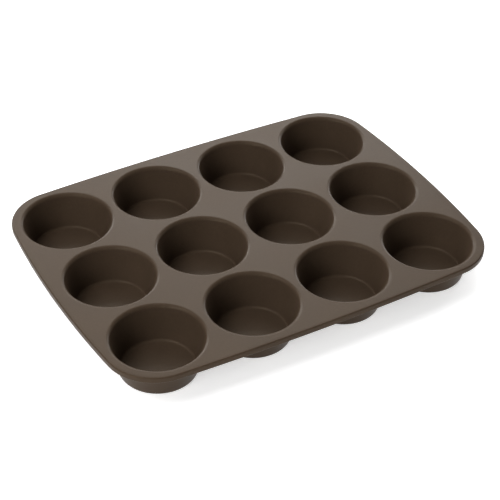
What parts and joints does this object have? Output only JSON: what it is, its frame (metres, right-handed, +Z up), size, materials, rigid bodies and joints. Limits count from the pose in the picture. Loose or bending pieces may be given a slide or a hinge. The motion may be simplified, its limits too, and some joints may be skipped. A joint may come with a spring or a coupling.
{
  "type": "muffin tray",
  "caption": "Flexible moulded silicone muffin baking tray: tapered round flat-floored cups in a grid, hung from one flat rounded deck with a thickened rim.",
  "frame": {"origin": "Centre of the tray in plan, on the surface that the cup floors stand on.", "axes": "+X along the long side, +Y along the short side towards the back, +Z up out of the cups."},
  "size_m": [0.3988, 0.2994, 0.036],
  "materials": {
    "silicone": "matte moulded silicone"
  },
  "bodies": {
    "root": {"deck_web": "silicone", "rim_bead": "silicone", "cup_front_1": "silicone", "cup_front_2": "silicone", "cup_front_3": "silicone", "cup_front_4": "silicone", "cup_middle_1": "silicone", "cup_middle_2": "silicone", "cup_middle_3": "silicone", "cup_middle_4": "silicone", "cup_back_1": "silicone", "cup_back_2": "silicone", "cup_back_3": "silicone", "cup_back_4": "silicone"}
  },
  "joints": []
}
